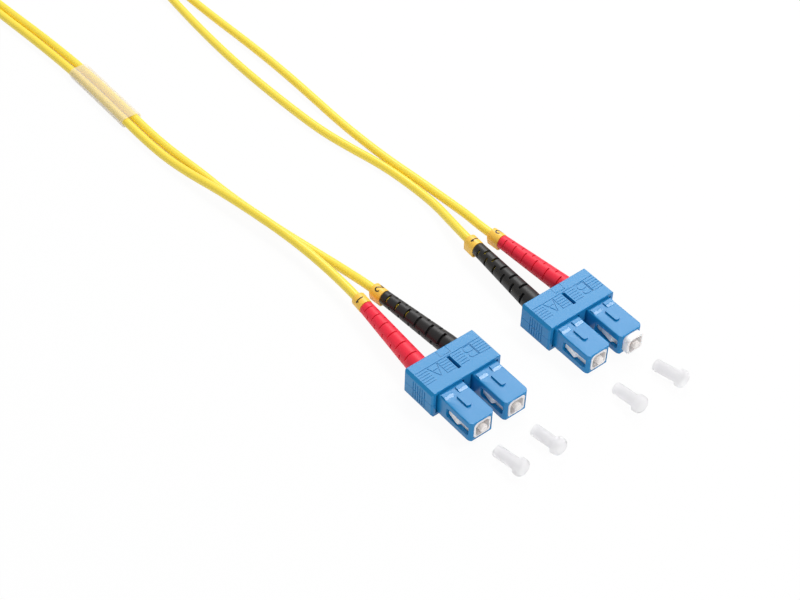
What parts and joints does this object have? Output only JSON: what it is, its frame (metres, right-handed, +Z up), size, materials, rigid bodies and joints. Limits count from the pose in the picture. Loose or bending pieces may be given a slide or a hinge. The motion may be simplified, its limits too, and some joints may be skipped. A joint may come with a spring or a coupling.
{
  "type": "fibre optic patch cable",
  "caption": "Duplex fibre optic patch cable with square push-pull plugs in clips at both ends, slotted boots, marker rings, loose dust caps and thin jacketed cords.",
  "frame": {"origin": "on the floor, midway between the two duplex ends, at the centre of the box of both ends, their boots and the dust caps", "axes": "+Z up, -Y the way the ferrules point, +X across the two ends"},
  "size_m": [0.0771, 0.3517, 0.0103],
  "materials": {
    "clip_blue": "moulded satin",
    "housing_blue": "moulded satin",
    "frame_white": "moulded",
    "ferrule_ceramic": "polished",
    "flange_metal": "plated",
    "spring_steel": "bright",
    "stop_metal": "plated",
    "crimp_metal": "plated",
    "fibre_buffer": "smooth",
    "boot_red": "soft satin",
    "boot_black": "soft satin",
    "ring_orange": "soft gloss",
    "cap_clear": "translucent natural",
    "cord_yellow": "satin jacket",
    "sleeve_clear": "clear film",
    "tie_black": "woven hook strap"
  },
  "bodies": {
    "cable_and_housings": {"left_clip_upper": "clip_blue", "left_clip_lower": "clip_blue", "right_clip_upper": "clip_blue", "right_clip_lower": "clip_blue", "left_red_outer_housing": "housing_blue", "left_red_cord": "cord_yellow", "left_red_dust_cap": "cap_clear", "left_black_outer_housing": "housing_blue", "left_black_cord": "cord_yellow", "left_black_dust_cap": "cap_clear", "right_black_outer_housing": "housing_blue", "right_black_cord": "cord_yellow", "right_black_dust_cap": "cap_clear", "right_red_outer_housing": "housing_blue", "right_red_cord": "cord_yellow", "right_red_dust_cap": "cap_clear", "cord_coil": "cord_yellow", "coil_tie": "tie_black", "clear_sleeve": "sleeve_clear"},
    "left_red_core": {"left_red_plug_frame": "frame_white", "left_red_ferrule_spring": "spring_steel", "left_red_stop_body": "stop_metal", "left_red_crimp_sleeve": "crimp_metal", "left_red_marker_ring": "ring_orange", "left_red_boot": "boot_red"},
    "left_red_ferrule_set": {"left_red_ferrule": "ferrule_ceramic", "left_red_ferrule_flange": "flange_metal", "left_red_buffered_fibre": "fibre_buffer"},
    "left_black_core": {"left_black_plug_frame": "frame_white", "left_black_ferrule_spring": "spring_steel", "left_black_stop_body": "stop_metal", "left_black_crimp_sleeve": "crimp_metal", "left_black_marker_ring": "ring_orange", "left_black_boot": "boot_black"},
    "left_black_ferrule_set": {"left_black_ferrule": "ferrule_ceramic", "left_black_ferrule_flange": "flange_metal", "left_black_buffered_fibre": "fibre_buffer"},
    "right_black_core": {"right_black_plug_frame": "frame_white", "right_black_ferrule_spring": "spring_steel", "right_black_stop_body": "stop_metal", "right_black_crimp_sleeve": "crimp_metal", "right_black_marker_ring": "ring_orange", "right_black_boot": "boot_black"},
    "right_black_ferrule_set": {"right_black_ferrule": "ferrule_ceramic", "right_black_ferrule_flange": "flange_metal", "right_black_buffered_fibre": "fibre_buffer"},
    "right_red_core": {"right_red_plug_frame": "frame_white", "right_red_ferrule_spring": "spring_steel", "right_red_stop_body": "stop_metal", "right_red_crimp_sleeve": "crimp_metal", "right_red_marker_ring": "ring_orange", "right_red_boot": "boot_red"},
    "right_red_ferrule_set": {"right_red_ferrule": "ferrule_ceramic", "right_red_ferrule_flange": "flange_metal", "right_red_buffered_fibre": "fibre_buffer"}
  },
  "joints": [
    {"name": "left_red_core_slide", "type": "slide", "parent": "cable_and_housings", "child": "left_red_core", "axis": [0, -1, 0], "range_m": [0, 0.002]},
    {"name": "left_red_ferrule_float", "type": "slide", "parent": "left_red_core", "child": "left_red_ferrule_set", "axis": [0, -1, 0], "range_m": [-0.0015, 0], "stiffness_N_per_m": 600, "deforming": ["left_red_ferrule_spring"]},
    {"name": "left_black_core_slide", "type": "slide", "parent": "cable_and_housings", "child": "left_black_core", "axis": [0, -1, 0], "range_m": [0, 0.002]},
    {"name": "left_black_ferrule_float", "type": "slide", "parent": "left_black_core", "child": "left_black_ferrule_set", "axis": [0, -1, 0], "range_m": [-0.0015, 0], "stiffness_N_per_m": 600, "deforming": ["left_black_ferrule_spring"]},
    {"name": "right_black_core_slide", "type": "slide", "parent": "cable_and_housings", "child": "right_black_core", "axis": [0, -1, 0], "range_m": [0, 0.002]},
    {"name": "right_black_ferrule_float", "type": "slide", "parent": "right_black_core", "child": "right_black_ferrule_set", "axis": [0, -1, 0], "range_m": [-0.0015, 0], "stiffness_N_per_m": 600, "deforming": ["right_black_ferrule_spring"]},
    {"name": "right_red_core_slide", "type": "slide", "parent": "cable_and_housings", "child": "right_red_core", "axis": [0, -1, 0], "range_m": [-0.002, 0]},
    {"name": "right_red_ferrule_float", "type": "slide", "parent": "right_red_core", "child": "right_red_ferrule_set", "axis": [0, -1, 0], "range_m": [-0.0015, 0], "stiffness_N_per_m": 600, "deforming": ["right_red_ferrule_spring"]}
  ]
}
